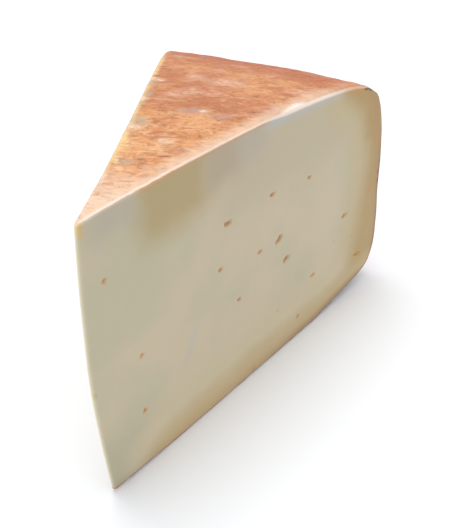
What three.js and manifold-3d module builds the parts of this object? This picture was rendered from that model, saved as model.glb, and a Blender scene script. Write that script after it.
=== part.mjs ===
// A wedge of semi-hard cheese: about a twelfth of a round wheel, cut with two strokes of a knife.
//
// Frame: millimetres, +Z up. The wedge stands on the wheel's flat base. The two cuts meet in the tip,
// which points to -Y, and the rind of the wheel's side faces +Y. The origin is the middle of the foot
// of the wedge's bounding box. While it is shaped, the wedge lies with the wheel's middle at x = y = 0.

import * as THREE from 'three';
import { mergeVertices } from 'three/addons/utils/BufferGeometryUtils.js';
import { ImprovedNoise } from 'three/addons/math/ImprovedNoise.js';
import Module from 'manifold-3d';

const { clamp, degToRad, lerp, seededRandom, smoothstep } = THREE.MathUtils;

// The wheel
const WHEEL_HEIGHT = 100;
const BULGE_RADIUS = 159; // the side of the wheel where it bulges over its base
const SHOULDER_RADIUS = 157.2; // the side of the wheel below its upper edge
const BULGE_TOP = 24; // heights between which the side steps in from bulge to shoulder
const SHOULDER_FOOT = 46;
const LOWER_CORNER = { height: 8, inset: 4.4 }; // both corners turn through 45 degrees at these points
const UPPER_CORNER = { drop: 16.6, inset: 7.6 };
const SIDE_FLATTENING = 2.5; // how far the middle of the slice's side falls short of a true circle
const TOP_SAG = 11.5; // how far the top face sinks from the middle to the upper corner
const SAG_POWER_LEFT = 6; // a higher power keeps the face level for longer
const SAG_POWER_RIGHT = 3;
const FLAT_BASE_RADIUS = 112; // the base is flat out to here and then rises a little
const BASE_RISE = 5.6;
const BASE_RISE_POWER = 1.15;

// The cuts
const SLICE_ANGLE = degToRad(31.3);
const TIP_RADIUS = 0.9; // the edge where the two cuts meet
const LEFT_HOLLOW = 1.7; // how far the knife bowed into the left cut, halfway along it
const UNDERCUT = 5.8; // the knife ran back this far at the foot of the tip
const UNDERCUT_HEIGHT = 55;
const UNDERCUT_POWER = 1.5;
const TIP_WEAR = 1.8; // the top of the tip has worn back by this much
const TIP_WEAR_POWER = 5;
const TIP_DROP = 0.5; // the worn upper corner of the tip
const TIP_DROP_REACH = 2;
const TIP_LIFT = 1.4; // the base comes off the ground by this much under the tip
const TIP_LIFT_REACH = 45;
const EDGE_RADIUS = 0.9; // between a cut and the rind
const WIDE_EDGE_RADIUS = 3.2; // the worn edge on top of the right cut, towards the side of the wheel
const WIDE_EDGE_START = 0.4; // as fractions of the way from tip to side
const WIDE_EDGE_END = 0.7;
const MOST_ROUNDED = 0.6; // of the half width, near the tip

// The rind's low relief, which fades out within the cuts
const RIND_RELIEF = 0.5;
const RELIEF_PITCH = 19;
const RELIEF_FADE_POWER = 8;

// Steps of the surface grid
const STEPS_ACROSS = 15;
const STEPS_ALONG = 34;
const STEPS_UP = 26;

// Eyes in the right cut: distance from the tip, height over the base, length, height and slant in
// degrees. They are shallow slits and pinholes, left by gas while the cheese ripened.
const RIGHT_EYES = [
  [60.2, 71.7, 4.6, 1.4, -5],
  [83.6, 71.3, 3.5, 1.5, -1],
  [105.2, 68.1, 2.6, 1.3, 0],
  [56.2, 56.8, 2.4, 1.3, 7],
  [77.4, 52.6, 2.8, 1.3, 6],
  [88.4, 51.9, 5.2, 2.8, 26],
  [92.8, 41.2, 4.5, 2.2, 17],
  [65.9, 39.4, 2.2, 1.5, 15],
  [7.1, 80.3, 2.4, 1.1, 25],
  [19.0, 47.0, 2.6, 1.4, 25],
  [17.4, 24.4, 2.4, 1.5, 20],
  [110.0, 23.9, 4.0, 1.7, 2],
  [130.9, 40.3, 4.3, 1.7, 3],
  [101.1, 9.6, 2.2, 1.5, 63],
  [142.4, 16.2, 5.6, 1.7, -11],
];
const EYE_SIDES = 8;
const LARGEST_EYE = { height: 2.8, depth: 1.4 };

// Eyes in the left cut, in level rows: the ranges that each is drawn from
const LEFT_EYES = { count: 12, rows: 5, lowest: 14, highest: 76, jitter: [-4, 4] };
const LEFT_EYE = { distance: [18, 140], length: [1.8, 4.6], flatness: [0.35, 0.7], slant: [-25, 10] };

// Cracks in the rind of the side
const CRACK_COUNT = 7;
const CRACK = { up: [0.15, 0.9], length: [4, 9], height: [1, 1.6], depth: [0.5, 0.9] };
const CRACK_JITTER = [-0.06, 0.06];
const OUTERMOST_CRACK = 0.8;
const RANDOM_SEED = 27;

const UPRIGHT = new THREE.Vector3(0, 0, 1);
const noise = new ImprovedNoise();
const halfAngle = SLICE_ANGLE / 2;
const tipCentre = TIP_RADIUS / Math.sin(halfAngle);
const tipFront = tipCentre - TIP_RADIUS;
const lowerCornerRadius = BULGE_RADIUS - LOWER_CORNER.inset;
const upperCornerRadius = SHOULDER_RADIUS - UPPER_CORNER.inset;
const wedgeLength = BULGE_RADIUS - tipFront;
const sideHeight = WHEEL_HEIGHT - UPPER_CORNER.drop - LOWER_CORNER.height;

// The last part of a curve that turns into the next face: it rises by a size over a run, as a power
// of the share of the run, with the power that brings the whole slope to 45 degrees at the end.
function corner(share, run, size, slopeBefore) {
  return size * share ** ((run * (1 - slopeBefore)) / size);
}

// Radius of the wheel's side, from the lower corner (up = 0) to the upper one (up = 1).
function sideRadius(up) {
  const step = smoothstep(LOWER_CORNER.height + up * sideHeight, BULGE_TOP, SHOULDER_FOOT);
  const lowerInset = corner(1 - up, sideHeight, LOWER_CORNER.inset, 0);
  const upperInset = corner(up, sideHeight, UPPER_CORNER.inset, 0);
  return lerp(BULGE_RADIUS, SHOULDER_RADIUS, step) - lowerInset - upperInset;
}

// Height of the base, from the tip (along = 0) to the lower corner (along = 1).
function baseHeight(along) {
  const radius = lerp(tipFront, lowerCornerRadius, along);
  const run = lowerCornerRadius - FLAT_BASE_RADIUS;
  const past = Math.max(0, (radius - FLAT_BASE_RADIUS) / run);
  const slope = (BASE_RISE * BASE_RISE_POWER) / run;
  const turnUp = corner(past, run, LOWER_CORNER.height - BASE_RISE, slope);
  const lift = TIP_LIFT * Math.max(0, 1 - (radius - tipFront) / TIP_LIFT_REACH) ** 2;
  return BASE_RISE * past ** BASE_RISE_POWER + turnUp + lift;
}

// Height of the top face, from the tip to the upper corner, and from the left cut to the right one.
function topHeight(along, across) {
  const sagPower = lerp(SAG_POWER_LEFT, SAG_POWER_RIGHT, (across + 1) / 2);
  const run = upperCornerRadius - tipFront;
  const rollOver = corner(along, run, UPPER_CORNER.drop - TOP_SAG, (sagPower * TOP_SAG) / run);
  const drop = TIP_DROP * Math.max(0, 1 - (along * wedgeLength) / TIP_DROP_REACH) ** 2;
  return WHEEL_HEIGHT - TOP_SAG * along ** sagPower - rollOver - drop;
}

// A place in the wedge: across from the left cut (-1) to the right one (1), along from the tip (0) to
// the side of the wheel (1), and up from the base (0) to the top face (1).
function place(across, along, up) {
  const low = baseHeight(along);
  const height = lerp(low, topHeight(along, across), up);
  const turn = across * (Math.PI / 2 - halfAngle);
  const undercut = UNDERCUT * Math.max(0, 1 - height / UNDERCUT_HEIGHT) ** UNDERCUT_POWER;
  const wear = TIP_WEAR * (height / WHEEL_HEIGHT) ** TIP_WEAR_POWER;
  const point = new THREE.Vector3(
    TIP_RADIUS * Math.sin(turn),
    tipCentre + undercut + wear - TIP_RADIUS * Math.cos(turn),
    0
  );
  const reach = sideRadius(up) - SIDE_FLATTENING * (1 - across ** 2);
  const side = new THREE.Vector3(
    reach * Math.sin(across * halfAngle),
    reach * Math.cos(across * halfAngle),
    0
  );
  point.lerp(side, along);
  point.x += LEFT_HOLLOW * Math.max(0, -across) * Math.sin(Math.PI * along);
  const pitch = RELIEF_PITCH;
  const relief = RIND_RELIEF * noise.noise(point.x / pitch, point.y / pitch, height / pitch);
  point.setLength(point.length() + relief * along ** RELIEF_FADE_POWER);
  point.z = height + Math.min(relief, 0) * up ** RELIEF_FADE_POWER;
  return point;
}

// Half the width of the wedge, part of the way along it.
function halfWidth(along) {
  return lerp(TIP_RADIUS, BULGE_RADIUS * halfAngle, along);
}

// Radius of the edge between a cut and the rind: side is 1 for the right cut and -1 for the left one.
function edgeRadius(side, along, up) {
  const widening = smoothstep(along, WIDE_EDGE_START, WIDE_EDGE_END) * smoothstep(up, 0.5, 1);
  return side > 0 ? lerp(EDGE_RADIUS, WIDE_EDGE_RADIUS, widening) : EDGE_RADIUS;
}

// Distance of a numbered step from one end of a span: two short steps lie in each end's rounded edge,
// and the steps between them are even.
function stepDistance(step, steps, span, radius) {
  if (step > steps / 2) {
    return span - stepDistance(steps - step, steps, span, radius);
  }
  if (step === 1) {
    return radius * (1 - Math.tan(Math.PI / 8));
  }
  return step === 0 ? 0 : radius + ((step - 2) * (span - 2 * radius)) / (steps - 4);
}

// Moves a pair of distances from two faces onto the rounded edge between them.
function roundEdge(first, second, firstRadius, secondRadius) {
  const firstInside = Math.max(0, 1 - first / firstRadius);
  const secondInside = Math.max(0, 1 - second / secondRadius);
  const size = Math.hypot(firstInside, secondInside);
  return [
    firstInside > 0 ? firstRadius * (1 - firstInside / size) : first,
    secondInside > 0 ? secondRadius * (1 - secondInside / size) : second,
  ];
}

// The point of the wedge's skin for one point of the grid's unit box.
function skinPoint(box) {
  const step = {
    across: Math.round((box.x + 0.5) * STEPS_ACROSS),
    along: Math.round((box.y + 0.5) * STEPS_ALONG),
    up: Math.round((box.z + 0.5) * STEPS_UP),
  };
  const fromTip = stepDistance(step.along, STEPS_ALONG, wedgeLength, EDGE_RADIUS);
  const along = fromTip / wedgeLength;
  const fromBase = stepDistance(step.up, STEPS_UP, WHEEL_HEIGHT, EDGE_RADIUS);
  const up = fromBase / WHEEL_HEIGHT;
  const width = halfWidth(along);
  const side = Math.sign(step.across - STEPS_ACROSS / 2);
  const radius = edgeRadius(side, along, up);
  const narrow = Math.min(radius, MOST_ROUNDED * width);
  const fromLeft = stepDistance(step.across, STEPS_ACROSS, 2 * width, narrow);
  const fromSide = Math.min(fromLeft, 2 * width - fromLeft);
  const fromCut = Math.min(fromSide, fromTip);
  const fromRind = Math.min(wedgeLength - fromTip, fromBase, WHEEL_HEIGHT - fromBase);
  const [cut, rind] = roundEdge(fromCut, fromRind, narrow, radius);
  return place(
    side * (1 - Math.max(fromSide, cut) / width),
    clamp(along, cut / wedgeLength, 1 - rind / wedgeLength),
    clamp(up, rind / WHEEL_HEIGHT, 1 - rind / WHEEL_HEIGHT)
  );
}

// The uncut skin of the wedge: a box of even steps, bent into the slice.
function wedgeGeometry() {
  const geometry = new THREE.BoxGeometry(1, 1, 1, STEPS_ACROSS, STEPS_ALONG, STEPS_UP);
  const positions = geometry.attributes.position;
  for (let i = 0; i < positions.count; i += 1) {
    const point = skinPoint(new THREE.Vector3().fromBufferAttribute(positions, i));
    positions.setXYZ(i, point.x, point.y, point.z);
  }
  return geometry;
}

// A lens-shaped pit in an upright stretch of skin that runs in a level direction.
function pitGeometry(centre, level, { length, height, depth }, slant) {
  const geometry = new THREE.SphereGeometry(1, EYE_SIDES, EYE_SIDES / 2 + 1);
  geometry.rotateX(Math.PI / 2);
  geometry.scale(length / 2, height / 2, depth);
  geometry.rotateZ(degToRad(slant));
  const through = new THREE.Vector3().crossVectors(level, UPRIGHT);
  geometry.applyMatrix4(new THREE.Matrix4().makeBasis(level, UPRIGHT, through).setPosition(centre));
  return geometry;
}

// An eye in one of the cuts: side is 1 for the right cut and -1 for the left one.
function eyeGeometry(side, [distance, middle, length, height, slant]) {
  const along = distance / wedgeLength;
  const low = baseHeight(along);
  const centre = place(side, along, (middle - low) / (topHeight(along, side) - low));
  const level = new THREE.Vector3(side * Math.sin(halfAngle), Math.cos(halfAngle), 0);
  const depth = LARGEST_EYE.depth * Math.sqrt(height / LARGEST_EYE.height);
  return pitGeometry(centre, level, { length, height, depth }, slant);
}

function between([low, high]) {
  return lerp(low, high, seededRandom());
}

// Eyes for the left cut, in level rows, scattered as those in the right one are.
function leftEyes() {
  const { count, rows, lowest, highest, jitter } = LEFT_EYES;
  return Array.from({ length: count }, (_, i) => {
    const row = Math.floor((i * rows) / count);
    const middle = lerp(lowest, highest, row / (rows - 1)) + between(jitter);
    const length = between(LEFT_EYE.length);
    const height = length * between(LEFT_EYE.flatness);
    return [between(LEFT_EYE.distance), middle, length, height, between(LEFT_EYE.slant)];
  });
}

// A level crack in the rind of the wheel's side.
function crackGeometry({ across, up, length, height, depth }) {
  const angle = across * halfAngle;
  const level = new THREE.Vector3(-Math.cos(angle), Math.sin(angle), 0);
  return pitGeometry(place(across, 1, up), level, { length, height, depth }, 0);
}

// Cracks spread round the side, from one cut to the other.
function sideCracks() {
  return Array.from({ length: CRACK_COUNT }, (_, i) => ({
    across: lerp(-OUTERMOST_CRACK, OUTERMOST_CRACK, i / (CRACK_COUNT - 1)) + between(CRACK_JITTER),
    up: between(CRACK.up),
    length: between(CRACK.length),
    height: between(CRACK.height),
    depth: between(CRACK.depth),
  }));
}

const manifold = await Module();
manifold.setup();

function toSolid(geometry) {
  const bare = geometry.clone();
  bare.deleteAttribute('normal');
  bare.deleteAttribute('uv');
  const merged = mergeVertices(bare);
  return new manifold.Manifold(
    new manifold.Mesh({
      numProp: 3,
      vertProperties: new Float32Array(merged.attributes.position.array),
      triVerts: new Uint32Array(merged.index.array),
    })
  );
}

function toGeometry(solid) {
  const mesh = solid.getMesh();
  const geometry = new THREE.BufferGeometry();
  geometry.setAttribute('position', new THREE.BufferAttribute(mesh.vertProperties, 3));
  geometry.setIndex(new THREE.BufferAttribute(mesh.triVerts, 1));
  geometry.computeVertexNormals();
  return geometry;
}

function cheeseWedge() {
  seededRandom(RANDOM_SEED);
  const rightPits = RIGHT_EYES.map((eye) => eyeGeometry(1, eye));
  const leftPits = leftEyes().map((eye) => eyeGeometry(-1, eye));
  const pits = [...rightPits, ...leftPits, ...sideCracks().map(crackGeometry)];
  const solid = pits.reduce((body, pit) => body.subtract(toSolid(pit)), toSolid(wedgeGeometry()));
  const geometry = toGeometry(solid);
  const paste = new THREE.MeshStandardMaterial({ color: 0xd3c7a2, roughness: 0.55, metalness: 0 });
  const mesh = new THREE.Mesh(geometry, paste);
  mesh.name = 'cheese_wedge';
  const box = new THREE.Box3().setFromBufferAttribute(geometry.attributes.position);
  const middle = box.getCenter(new THREE.Vector3());
  mesh.position.set(-middle.x, -middle.y, 0);
  return mesh;
}

const group = new THREE.Group();
group.add(cheeseWedge());

export default group;
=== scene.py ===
"""A wedge of semi-hard cheese with a washed rind, standing on a pale floor.

The wedge is a slice of a round wheel. One tree of nodes bends a box into the slice, and a second
one sinks the eyes and the cracks into it. Lengths are in metres up to the materials, which work in
millimetres, and colours are given as they look on a screen. While the slice is shaped, the middle
of the wheel lies at x = y = 0.
"""

import math
from types import SimpleNamespace

import bmesh
import bpy
from mathutils import Matrix, Vector
from mathutils.kdtree import KDTree


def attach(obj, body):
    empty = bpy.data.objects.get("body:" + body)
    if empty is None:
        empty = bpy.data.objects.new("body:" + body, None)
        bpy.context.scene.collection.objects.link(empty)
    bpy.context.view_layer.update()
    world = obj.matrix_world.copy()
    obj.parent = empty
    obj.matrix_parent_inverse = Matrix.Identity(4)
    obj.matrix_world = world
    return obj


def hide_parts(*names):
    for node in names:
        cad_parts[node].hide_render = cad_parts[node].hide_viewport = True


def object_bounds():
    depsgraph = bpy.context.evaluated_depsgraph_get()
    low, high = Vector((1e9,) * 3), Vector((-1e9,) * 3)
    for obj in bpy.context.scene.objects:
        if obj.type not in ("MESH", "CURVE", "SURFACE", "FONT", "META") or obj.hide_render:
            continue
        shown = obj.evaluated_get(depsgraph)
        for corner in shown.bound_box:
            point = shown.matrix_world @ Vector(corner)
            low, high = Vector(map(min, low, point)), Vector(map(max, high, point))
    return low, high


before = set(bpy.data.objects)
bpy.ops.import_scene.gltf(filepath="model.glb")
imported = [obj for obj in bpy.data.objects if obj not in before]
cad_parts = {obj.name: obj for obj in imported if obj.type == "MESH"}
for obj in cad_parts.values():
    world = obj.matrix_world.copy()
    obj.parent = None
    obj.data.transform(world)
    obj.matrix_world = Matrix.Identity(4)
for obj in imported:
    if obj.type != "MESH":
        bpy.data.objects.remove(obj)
cad_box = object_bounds()

MM = 0.001
TINY = 1e-6

# The wheel, the two cuts and the worn edges of the slice
SLICE = {
    "Wheel height": 100 * MM,
    "Bulge radius": 159 * MM,
    "Shoulder radius": 157.2 * MM,
    "Bulge top": 24 * MM,
    "Shoulder foot": 46 * MM,
    "Lower corner height": 8 * MM,
    "Lower corner inset": 4.4 * MM,
    "Upper corner drop": 16.6 * MM,
    "Upper corner inset": 7.6 * MM,
    "Side flattening": 2.5 * MM,
    "Top sag": 11.5 * MM,
    "Sag power left": 6,
    "Sag power right": 3,
    "Flat base radius": 112 * MM,
    "Base rise": 5.6 * MM,
    "Base rise power": 1.15,
    "Slice angle": math.radians(31.3),
    "Tip radius": 0.9 * MM,
    "Left hollow": 1.7 * MM,
    "Undercut": 5.8 * MM,
    "Undercut height": 55 * MM,
    "Undercut power": 1.5,
    "Tip wear": 1.8 * MM,
    "Tip wear power": 5,
    "Tip drop": 0.5 * MM,
    "Tip drop reach": 2 * MM,
    "Tip lift": 1.4 * MM,
    "Tip lift reach": 45 * MM,
    "Edge radius": 0.9 * MM,
    "Wide edge radius": 3.2 * MM,
    "Wide edge start": 0.4,
    "Wide edge end": 0.7,
    "Most rounded": 0.6,
}
SLICE_STEPS = {"Steps across": 64, "Steps along": 160, "Steps up": 104, "Steps in an edge": 4}
RELIEF = {
    "Swell depth": 0.45 * MM,
    "Swell pitch": 19 * MM,
    "Wrinkle depth": 0.35 * MM,
    "Wrinkle pitch": 5 * MM,
    "Cut waviness": 0.12 * MM,
    "Cut wave pitch": 30 * MM,
}
MIDDLE_OF_SLICE = Vector((-0.016 * MM, 79.39 * MM, 0))

# Eyes in the right cut: distance from the tip, height over the base, length, height (all in
# millimetres) and slant in degrees. They are slits and pinholes left by gas in the ripening cheese.
RIGHT_EYES = [
    (60.2, 71.7, 4.6, 1.4, -5),
    (83.6, 71.3, 3.5, 1.5, -1),
    (105.2, 68.1, 2.6, 1.3, 0),
    (56.2, 56.8, 2.4, 1.3, 7),
    (77.4, 52.6, 2.8, 1.3, 6),
    (88.4, 51.9, 5.2, 2.8, 26),
    (92.8, 41.2, 4.5, 2.2, 17),
    (65.9, 39.4, 2.2, 1.5, 15),
    (7.1, 80.3, 2.4, 1.1, 25),
    (19.0, 47.0, 2.6, 1.4, 25),
    (17.4, 24.4, 2.4, 1.5, 20),
    (110.0, 23.9, 4.0, 1.7, 2),
    (130.9, 40.3, 4.3, 1.7, 3),
    (101.1, 9.6, 2.2, 1.5, 63),
    (142.4, 16.2, 5.6, 1.7, -11),
]
LARGEST_EYE = {"height": 2.8, "depth": 1.4}

# Eyes in the left cut, in level rows, and cracks in the rind of the wheel's side
LEFT_EYES = {"count": 12, "rows": 5, "lowest": 14, "highest": 76, "jitter": (-4, 4)}
LEFT_EYE = {
    "distance": (18, 140),
    "length": (1.8, 4.6),
    "flatness": (0.35, 0.7),
    "slant": (-25, 10),
}
CRACKS = {"count": 7, "outermost": 0.8, "jitter": (-0.06, 0.06)}
CRACK = {"up": (0.15, 0.9), "length": (4, 9), "height": (1, 1.6), "depth": (0.5, 0.9)}
RANDOM_SEED = 27

HOLLOW = {
    "Rim start": 1.1,
    "Rim end": 0.15,
    "Rim raggedness": 0.45,
    "Rim pitch": 1.3 * MM,
    "Skin thickness": 3 * MM,
    "Stain reach": 1.3 * MM,
}
STAIN_SPAN = (1, 0.25)

# The skin is split twice round each mark, and flattened a hair's breadth inside the solid's box
FINE_MARGIN = 0.7 * MM
FINE_ROUNDS = 2
HAIR = 0.02 * MM

# Nearly all noise lies within this span
FULL_NOISE = (0.25, 0.75)


# Fields: values that a tree of nodes works out


class Field:
    """A value in a node tree, which takes part in sums as a plain number does."""

    def __init__(self, socket):
        self.socket = socket

    def __add__(self, other):
        return worked_out("ADD", self, other)

    def __radd__(self, other):
        return worked_out("ADD", other, self)

    def __sub__(self, other):
        return worked_out("SUBTRACT", self, other)

    def __rsub__(self, other):
        return worked_out("SUBTRACT", other, self)

    def __mul__(self, other):
        return worked_out("MULTIPLY", self, other)

    def __rmul__(self, other):
        return worked_out("MULTIPLY", other, self)

    def __truediv__(self, other):
        return worked_out("DIVIDE", self, other)

    def __rtruediv__(self, other):
        return worked_out("DIVIDE", other, self)

    def __pow__(self, other):
        return worked_out("POWER", self, other)


def fill(socket, value):
    """Links a field to a socket, or sets the socket to a plain value."""
    if isinstance(value, Field):
        socket.id_data.links.new(value.socket, socket)
    else:
        socket.default_value = value


def node(tree, kind, inputs=None, **settings):
    """Adds a node, with its settings and its inputs by name or number."""
    made = tree.nodes.new(kind)
    for name, value in settings.items():
        setattr(made, name, value)
    for key, value in (inputs or {}).items():
        fill(made.inputs[key], value)
    return made


def tree_of(*values):
    return next(v.socket.id_data for v in values if isinstance(v, Field))


def worked_out(operation, *values):
    made = node(tree_of(*values), "ShaderNodeMath", dict(enumerate(values)), operation=operation)
    return Field(made.outputs[0])


def either(operation, plain):
    """A function that works on plain numbers and, with one node, on fields."""

    def run(*values):
        if any(isinstance(v, Field) for v in values):
            return worked_out(operation, *values)
        return plain(*values)

    return run


sine = either("SINE", math.sin)
cosine = either("COSINE", math.cos)
tangent = either("TANGENT", math.tan)
larger = either("MAXIMUM", max)
smaller = either("MINIMUM", min)
magnitude = either("ABSOLUTE", abs)
length_of = either("SQRT", math.sqrt)


def diagonal(wide, high):
    return length_of(wide * wide + high * high)


def blend(start, end, share):
    return start + (end - start) * share


def ease(value, start, end):
    """Rises smoothly from 0 at the start to 1 at the end."""
    share = smaller(larger((value - start) / (end - start), 0), 1)
    return share * share * (3 - 2 * share)


def below(value, limit):
    return worked_out("LESS_THAN", value, limit)


def vector(x, y, z):
    made = node(tree_of(x, y, z), "ShaderNodeCombineXYZ", {0: x, 1: y, 2: z})
    return Field(made.outputs[0])


def parts(value):
    return [Field(s) for s in node(tree_of(value), "ShaderNodeSeparateXYZ", {0: value}).outputs]


def vectors(operation, *values):
    """A node of vector arithmetic: its number for DOT_PRODUCT and LENGTH, or else its vector."""
    inputs = {3 if operation == "SCALE" and i else i: v for i, v in enumerate(values)}
    made = node(tree_of(*values), "ShaderNodeVectorMath", inputs, operation=operation)
    return Field(made.outputs["Value" if operation in ("DOT_PRODUCT", "LENGTH") else "Vector"])


def noise(place, pitch, detail=2, roughness=0.5):
    """Cloudy noise from 0 to 1, about a pitch across."""
    inputs = {"Scale": 1, "Detail": detail, "Roughness": roughness}
    inputs["Vector"] = vectors("SCALE", place, 1 / pitch)
    return Field(node(tree_of(place), "ShaderNodeTexNoise", inputs).outputs[0])


def full_noise(place, pitch):
    """Noise that reaches both 0 and 1."""
    return ease(noise(place, pitch), *FULL_NOISE)


# The rule of the slice. Each function takes the sizes as plain numbers or as the fields of a tree.


def sizes_of(values):
    """The sizes by name, with those that follow from them."""
    w = SimpleNamespace(**{name.lower().replace(" ", "_"): v for name, v in values.items()})
    w.half_angle = w.slice_angle / 2
    w.tip_centre = w.tip_radius / sine(w.half_angle)
    w.tip_front = w.tip_centre - w.tip_radius
    w.lower_corner_radius = w.bulge_radius - w.lower_corner_inset
    w.upper_corner_radius = w.shoulder_radius - w.upper_corner_inset
    w.wedge_length = w.bulge_radius - w.tip_front
    w.side_height = w.wheel_height - w.upper_corner_drop - w.lower_corner_height
    return w


def corner(share, run, size, slope_before):
    """The last part of a curve, with the power that brings its slope to 45 degrees at the end."""
    return size * share ** ((run * (1 - slope_before)) / size)


def side_radius(w, up):
    """Radius of the wheel's side, from the lower corner to the upper one."""
    step = ease(w.lower_corner_height + up * w.side_height, w.bulge_top, w.shoulder_foot)
    lower_inset = corner(1 - up, w.side_height, w.lower_corner_inset, 0)
    upper_inset = corner(up, w.side_height, w.upper_corner_inset, 0)
    return blend(w.bulge_radius, w.shoulder_radius, step) - lower_inset - upper_inset


def base_height(w, along):
    """Height of the base, from the tip to the lower corner."""
    radius = blend(w.tip_front, w.lower_corner_radius, along)
    run = w.lower_corner_radius - w.flat_base_radius
    past = larger((radius - w.flat_base_radius) / run, 0)
    slope = w.base_rise * w.base_rise_power / run
    turn_up = corner(past, run, w.lower_corner_height - w.base_rise, slope)
    lift = w.tip_lift * larger(1 - (radius - w.tip_front) / w.tip_lift_reach, 0) ** 2
    return w.base_rise * past**w.base_rise_power + turn_up + lift


def top_height(w, along, across):
    """Height of the top face, from the tip to the upper corner and from cut to cut."""
    sag_power = blend(w.sag_power_left, w.sag_power_right, (across + 1) / 2)
    run = w.upper_corner_radius - w.tip_front
    roll_over = corner(along, run, w.upper_corner_drop - w.top_sag, sag_power * w.top_sag / run)
    drop = w.tip_drop * larger(1 - along * w.wedge_length / w.tip_drop_reach, 0) ** 2
    return w.wheel_height - w.top_sag * along**sag_power - roll_over - drop


def place(w, across, along, up):
    """A place in the slice: across from the left cut (-1) to the right one (1), along from the tip
    (0) to the side of the wheel (1), and up from the base (0) to the top face (1)."""
    height = blend(base_height(w, along), top_height(w, along, across), up)
    turn = across * (math.pi / 2 - w.half_angle)
    undercut = w.undercut * larger(1 - height / w.undercut_height, 0) ** w.undercut_power
    wear = w.tip_wear * (height / w.wheel_height) ** w.tip_wear_power
    reach = side_radius(w, up) - w.side_flattening * (1 - across * across)
    tip = (w.tip_radius * sine(turn), w.tip_centre + undercut + wear - w.tip_radius * cosine(turn))
    side = (reach * sine(across * w.half_angle), reach * cosine(across * w.half_angle))
    hollow = w.left_hollow * larger(0 - across, 0) * sine(math.pi * along)
    return blend(tip[0], side[0], along) + hollow, blend(tip[1], side[1], along), height


def step_distance(share, steps, edge_steps, span, radius):
    """How far along a span a share of its steps reaches: the first and the last few lie in its
    rounded edges, and the others are even."""
    from_end = smaller(share, 1 - share) * steps
    turn = (1 - smaller(from_end / edge_steps, 1)) * (math.pi / 4)
    in_edge = radius * (1 - tangent(turn))
    between = radius + (from_end - edge_steps) * (span / 2 - radius) / (steps / 2 - edge_steps)
    distance = blend(between, in_edge, below(from_end, edge_steps))
    return blend(span - distance, distance, below(share, 0.5))


def slice_skin(w, box):
    """The place of a point of the unit box on the skin of the slice, and by name its distances
    along the skin from the tip, the cut and the rind, and how far it is turned to the rind."""
    from_tip = step_distance(
        box[1], w.steps_along, w.steps_in_an_edge, w.wedge_length, w.edge_radius
    )
    along = from_tip / w.wedge_length
    from_base = step_distance(box[2], w.steps_up, w.steps_in_an_edge, w.wheel_height, w.edge_radius)
    up = from_base / w.wheel_height
    width = blend(w.tip_radius, w.bulge_radius * w.half_angle, along)
    widening = ease(along, w.wide_edge_start, w.wide_edge_end) * ease(up, 0.5, 1)
    widening = widening * (1 - below(box[0], 0.5))
    radius = blend(w.edge_radius, w.wide_edge_radius, widening)
    narrow = smaller(radius, w.most_rounded * width)
    from_left = step_distance(box[0], w.steps_across, w.steps_in_an_edge, 2 * width, narrow)
    from_side = smaller(from_left, 2 * width - from_left)
    from_cut = smaller(from_side, from_tip)
    from_rind = smaller(smaller(w.wedge_length - from_tip, from_base), w.wheel_height - from_base)
    cut_inside = larger(1 - from_cut / narrow, 0)
    rind_inside = larger(1 - from_rind / radius, 0)
    size = larger(diagonal(cut_inside, rind_inside), TINY)
    cut = larger(narrow * (1 - cut_inside / size), from_cut * below(cut_inside, TINY))
    rind = larger(radius * (1 - rind_inside / size), from_rind * below(rind_inside, TINY))
    side = worked_out("SIGN", from_left - width)
    where = place(
        w,
        side * (1 - larger(from_side, cut) / width),
        smaller(larger(along, cut / w.wedge_length), 1 - rind / w.wedge_length),
        smaller(larger(up, rind / w.wheel_height), 1 - rind / w.wheel_height),
    )
    rind = worked_out("ARCTAN2", rind_inside, cut_inside) / (math.pi / 2)
    return where, {"from_tip": from_tip, "from_cut": from_cut, "from_rind": from_rind, "rind": rind}


# Trees of geometry nodes


def geometry_tree(name, inputs):
    """An empty tree with a geometry input and output and named inputs, which come back by name."""
    tree = bpy.data.node_groups.new(name, "GeometryNodeTree")
    tree.interface.new_socket("Geometry", in_out="OUTPUT", socket_type="NodeSocketGeometry")
    tree.interface.new_socket("Geometry", in_out="INPUT", socket_type="NodeSocketGeometry")
    for label, value in inputs.items():
        if isinstance(value, bpy.types.Material):
            kind = "NodeSocketMaterial"
        elif isinstance(value, bpy.types.Object):
            kind = "NodeSocketObject"
        else:
            kind = "NodeSocketInt" if isinstance(value, int) else "NodeSocketFloat"
        tree.interface.new_socket(label, in_out="INPUT", socket_type=kind)
    start = tree.nodes.new("NodeGroupInput")
    return tree, {s.name: Field(s) for s in start.outputs if s.name}


def end_tree(tree, geometry, material):
    """Closes a tree with smooth shading, real geometry and the material."""
    smooth = node(tree, "GeometryNodeSetShadeSmooth", {"Geometry": geometry})
    real = node(tree, "GeometryNodeRealizeInstances", {"Geometry": Field(smooth.outputs[0])})
    inputs = {"Geometry": Field(real.outputs[0]), "Material": material}
    painted = node(tree, "GeometryNodeSetMaterial", inputs)
    node(tree, "NodeGroupOutput", {"Geometry": Field(painted.outputs[0])})


def stored(tree, geometry, name, value):
    inputs = {"Geometry": geometry, "Name": name, "Value": value}
    return Field(node(tree, "GeometryNodeStoreNamedAttribute", inputs).outputs[0])


def moved(tree, geometry, **how):
    inputs = {"Geometry": geometry, **{k.capitalize(): v for k, v in how.items()}}
    return Field(node(tree, "GeometryNodeSetPosition", inputs).outputs[0])


def read(tree, name, kind="FLOAT"):
    made = node(tree, "GeometryNodeInputNamedAttribute", {"Name": name}, data_type=kind)
    return Field(made.outputs[0])


def added(name, data):
    """A new object in the scene."""
    made = bpy.data.objects.new(name, data)
    bpy.context.scene.collection.objects.link(made)
    return made


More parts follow.
